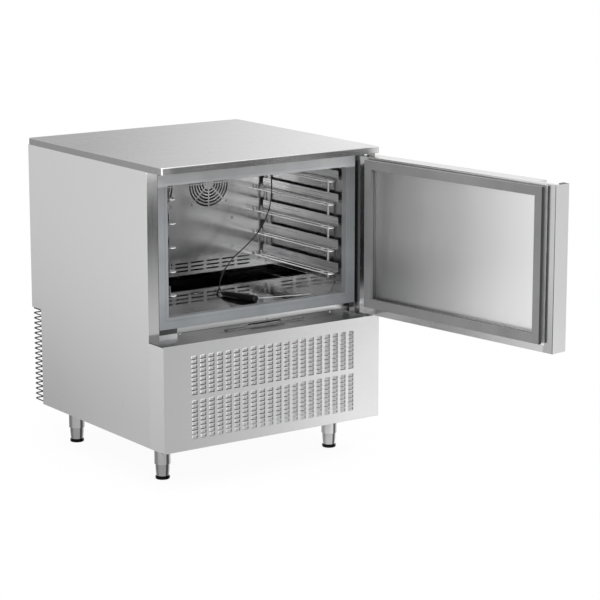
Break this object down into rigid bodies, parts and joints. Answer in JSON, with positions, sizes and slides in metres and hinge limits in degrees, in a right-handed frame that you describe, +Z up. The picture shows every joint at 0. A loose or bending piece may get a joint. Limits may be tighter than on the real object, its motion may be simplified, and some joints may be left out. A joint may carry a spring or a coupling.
{
  "type": "blast chiller",
  "caption": "Undercounter blast chiller with a tray chamber, side-hinged insulated door, core probe, louvred lower panel and adjustable feet.",
  "frame": {"origin": "on the floor, at the middle of the worktop's footprint", "axes": "+X to the right seen from the front, +Y to the back, +Z up; the door is stored 98 degrees open"},
  "size_m": [0.9167, 1.5541, 0.985],
  "materials": {
    "brushed_stainless": "brushed",
    "liner_stainless": "satin",
    "galvanised": "zinc coated",
    "core_board": "raw",
    "foam": "matte",
    "frame_plastic": "satin",
    "leg_steel": "polished",
    "guard_black": "satin",
    "fins": "bare",
    "motor_grey": "painted",
    "fan_plastic": "matte",
    "black_plastic": "matte",
    "cable_rubber": "satin",
    "rubber": "matte",
    "copper": "bare copper",
    "gasket_grey": "matte",
    "bush_plastic": "matte",
    "window": "gloss",
    "button_grey": "satin"
  },
  "bodies": {
    "cabinet": {"worktop": "brushed_stainless", "worktop_core": "core_board", "side_panel_left": "brushed_stainless", "side_panel_right": "brushed_stainless", "back_panel": "brushed_stainless", "front_rail": "brushed_stainless", "cabinet_foam": "foam", "chamber_liner": "liner_stainless", "floor_pan": "liner_stainless", "breaker_frame": "frame_plastic", "box_underside": "galvanised", "box_spacers": "galvanised", "machine_shelf": "galvanised", "base_tray": "galvanised", "lower_front_panel": "brushed_stainless", "fascia_strip": "brushed_stainless", "hinge_bracket_bottom": "brushed_stainless", "hinge_bracket_top": "brushed_stainless", "leg_sleeves": "leg_steel", "rear_guard": "guard_black", "evaporator_cover": "liner_stainless", "evaporator_coil": "fins", "evaporator_motors": "motor_grey", "drain_fitting": "liner_stainless", "rack_frames": "liner_stainless", "tray_runners_left": "liner_stainless", "tray_runners_right": "liner_stainless", "probe_gland": "black_plastic", "probe_cable": "cable_rubber", "probe_handle": "black_plastic", "probe_needle": "liner_stainless", "compressor": "guard_black", "compressor_mounts": "rubber", "condenser_coil": "fins", "condenser_shroud": "galvanised", "condenser_motor": "motor_grey", "liquid_receiver": "guard_black", "pipework": "copper", "electrical_box": "galvanised", "mains_gland": "black_plastic", "panel_screws": "liner_stainless"},
    "door": {"door_skin": "brushed_stainless", "door_panel": "brushed_stainless", "door_foam": "foam", "door_gasket": "gasket_grey", "door_bushes": "bush_plastic", "control_bezel": "black_plastic", "display_window": "window"},
    "foot_front_left": {"foot_front_left": "leg_steel"},
    "foot_front_right": {"foot_front_right": "leg_steel"},
    "foot_rear_left": {"foot_rear_left": "leg_steel"},
    "foot_rear_right": {"foot_rear_right": "leg_steel"},
    "evaporator_fan_left": {"evaporator_fan_left": "fan_plastic"},
    "evaporator_fan_right": {"evaporator_fan_right": "fan_plastic"},
    "condenser_fan": {"condenser_fan": "fan_plastic"},
    "drip_tray": {"drip_tray": "brushed_stainless"},
    "button_power": {"button_power": "button_grey"},
    "button_start": {"button_start": "button_grey"},
    "button_up": {"button_up": "button_grey"},
    "button_down": {"button_down": "button_grey"}
  },
  "joints": [
    {"name": "door_hinge", "type": "hinge", "parent": "cabinet", "child": "door", "pos_m": [0.385, -0.374, 0.7065], "axis": [0, 0, 1], "range_deg": [-98, 12]},
    {"name": "foot_front_left_screw", "type": "slide", "parent": "cabinet", "child": "foot_front_left", "axis": [0, 0, -1], "range_m": [0, 0.03]},
    {"name": "foot_front_right_screw", "type": "slide", "parent": "cabinet", "child": "foot_front_right", "axis": [0, 0, -1], "range_m": [0, 0.03]},
    {"name": "foot_rear_left_screw", "type": "slide", "parent": "cabinet", "child": "foot_rear_left", "axis": [0, 0, -1], "range_m": [0, 0.03]},
    {"name": "foot_rear_right_screw", "type": "slide", "parent": "cabinet", "child": "foot_rear_right", "axis": [0, 0, -1], "range_m": [0, 0.03]},
    {"name": "evaporator_fan_left_spin", "type": "hinge", "parent": "cabinet", "child": "evaporator_fan_left", "pos_m": [-0.106, 0.142, 0.827], "axis": [0, 1, 0], "continuous": true},
    {"name": "evaporator_fan_right_spin", "type": "hinge", "parent": "cabinet", "child": "evaporator_fan_right", "pos_m": [0.106, 0.142, 0.827], "axis": [0, 1, 0], "continuous": true},
    {"name": "condenser_fan_spin", "type": "hinge", "parent": "cabinet", "child": "condenser_fan", "pos_m": [-0.09, -0.212, 0.285], "axis": [0, 1, 0], "continuous": true},
    {"name": "drip_tray_slide", "type": "slide", "parent": "cabinet", "child": "drip_tray", "axis": [0, -1, 0], "range_m": [0, 0.28]},
    {"name": "button_power_press", "type": "slide", "parent": "door", "child": "button_power", "axis": [-0.9903, -0.1392, 0], "range_m": [0, 0.0015], "stiffness_N_per_m": 300},
    {"name": "button_start_press", "type": "slide", "parent": "door", "child": "button_start", "axis": [-0.9903, -0.1392, 0], "range_m": [0, 0.0015], "stiffness_N_per_m": 300},
    {"name": "button_up_press", "type": "slide", "parent": "door", "child": "button_up", "axis": [-0.9903, -0.1392, 0], "range_m": [0, 0.0015], "stiffness_N_per_m": 300},
    {"name": "button_down_press", "type": "slide", "parent": "door", "child": "button_down", "axis": [-0.9903, -0.1392, 0], "range_m": [0, 0.0015], "stiffness_N_per_m": 300}
  ]
}
